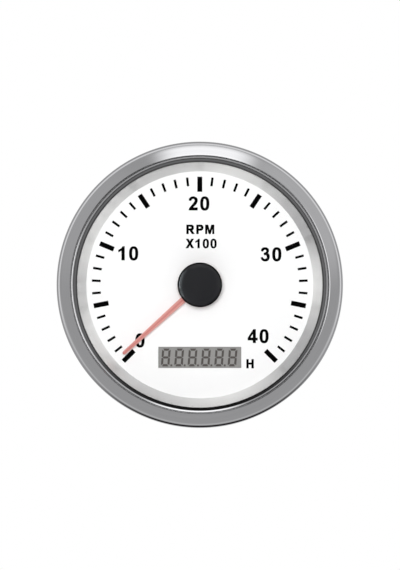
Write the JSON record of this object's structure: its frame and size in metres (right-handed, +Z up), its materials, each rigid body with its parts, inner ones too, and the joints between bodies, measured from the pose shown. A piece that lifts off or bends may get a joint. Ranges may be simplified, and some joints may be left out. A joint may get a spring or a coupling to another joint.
{
  "type": "tachometer",
  "caption": "Round panel-mounted electronic engine tachometer with a geared needle movement, a white dial, an hour display and a rear clamp bracket.",
  "frame": {"origin": "on the barrel's axis, in the plane of the gasket's back face, which is the panel's front face", "axes": "+Y back along the barrel's axis, through the panel, away from the viewer; +Z up the dial; +X to the viewer's right"},
  "size_m": [0.094, 0.07, 0.094],
  "materials": {
    "polished_steel": "rolled stainless steel, polished bright",
    "seal_rubber": "moulded black rubber, semi-matt",
    "lens_glass": "clear flat float glass",
    "satin_silver": "moulded ABS plated satin silver",
    "dial_white": "screen-printed white polycarbonate sheet",
    "needle_red": "moulded translucent red acrylic",
    "cap_black": "moulded black ABS, soft gloss",
    "display_glass": "two glass sheets with a grey reflective polariser",
    "guide_white": "moulded white polycarbonate",
    "board_green": "glass-epoxy board under green solder mask",
    "lamp_resin": "moulded resin lamp package",
    "chip_epoxy": "moulded black epoxy with tinned leads",
    "can_metal": "drawn metal can",
    "plated_steel": "zinc-plated steel",
    "stud_steel": "rolled stainless steel thread",
    "bracket_steel": "bent stainless steel strip",
    "arbor_steel": "ground steel pin",
    "motor_shell": "moulded natural plastic",
    "core_iron": "stamped soft-iron sheet",
    "magnet_ferrite": "sintered ferrite",
    "coil_copper": "enamelled copper wire",
    "gear_plastic": "moulded acetal",
    "pin_brass": "gold-flashed brass",
    "case_black": "moulded black glass-filled plastic, fine spark texture",
    "header_black": "moulded black nylon",
    "silicone_orange": "moulded orange silicone",
    "button_black": "moulded black plastic",
    "plunger_red": "moulded red plastic",
    "membrane_grey": "porous vent membrane on a plastic disc",
    "nut_nylon": "moulded black glass-filled nylon"
  },
  "bodies": {
    "root": {"bezel": "polished_steel", "lens_seal": "seal_rubber", "panel_gasket": "seal_rubber", "button_seal": "seal_rubber", "zebra_strips": "seal_rubber", "lens": "lens_glass", "trim_ring": "satin_silver", "dial": "dial_white", "lcd_glass": "display_glass", "light_guide": "guide_white", "lcd_holder": "guide_white", "circuit_board": "board_green", "lamps": "lamp_resin", "microcontroller": "chip_epoxy", "regulator": "chip_epoxy", "crystal": "can_metal", "capacitors": "can_metal", "board_screws": "plated_steel", "header_screws": "plated_steel", "mounting_studs": "stud_steel", "motor_front_shell": "motor_shell", "motor_rear_shell": "motor_shell", "stator": "core_iron", "coils": "coil_copper", "motor_terminals": "pin_brass", "connector_pins": "pin_brass", "case": "case_black", "connector_header": "header_black", "connector_seal": "silicone_orange", "switch_body": "button_black", "breather": "membrane_grey"},
    "pointer": {"needle": "needle_red", "pointer_cap": "cap_black", "pointer_shaft": "arbor_steel", "output_wheel": "gear_plastic"},
    "intermediate_gear": {"intermediate_wheel": "gear_plastic", "intermediate_arbor": "arbor_steel"},
    "rotor": {"rotor_magnet": "magnet_ferrite", "rotor_pinion": "gear_plastic", "rotor_arbor": "arbor_steel"},
    "button": {"set_button": "button_black", "switch_plunger": "plunger_red"},
    "clamp": {"clamp_bracket": "bracket_steel", "lock_washers": "plated_steel"},
    "nut_left": {"thumb_nut_left": "nut_nylon"},
    "nut_right": {"thumb_nut_right": "nut_nylon"}
  },
  "joints": [
    {"name": "rotor_spin", "type": "hinge", "parent": "root", "child": "rotor", "pos_m": [0, 0, 0.0174], "axis": [0, 1, 0], "range_deg": [-900, 48600]},
    {"name": "intermediate_turn", "type": "hinge", "parent": "root", "child": "intermediate_gear", "pos_m": [0, 0, 0.0096], "axis": [0, 1, 0], "range_deg": [-4050, 75]},
    {"name": "pointer_turn", "type": "hinge", "parent": "root", "child": "pointer", "pos_m": [0, 0, 0], "axis": [0, 1, 0], "range_deg": [-5, 270]},
    {"name": "set_button_press", "type": "slide", "parent": "root", "child": "button", "axis": [0, -1, 0], "range_m": [0, 0.0008], "stiffness_N_per_m": 1500, "springref_m": -0.0004},
    {"name": "clamp_slide", "type": "slide", "parent": "root", "child": "clamp", "axis": [0, 1, 0], "range_m": [-0.0035, 0.008]},
    {"name": "nut_left_spin", "type": "hinge", "parent": "clamp", "child": "nut_left", "pos_m": [-0.022, 0, 0], "axis": [0, 1, 0], "range_deg": [-1801, 4116]},
    {"name": "nut_right_spin", "type": "hinge", "parent": "clamp", "child": "nut_right", "pos_m": [0.022, 0, 0], "axis": [0, 1, 0], "range_deg": [-1801, 4116]}
  ],
  "couplings": [
    {"joint": "intermediate_turn", "follows": "rotor_spin", "ratio": -0.083333},
    {"joint": "pointer_turn", "follows": "rotor_spin", "ratio": 0.0055556},
    {"joint": "nut_left_spin", "follows": "clamp_slide", "rad_per_m": 8976},
    {"joint": "nut_right_spin", "follows": "clamp_slide", "rad_per_m": 8976}
  ]
}
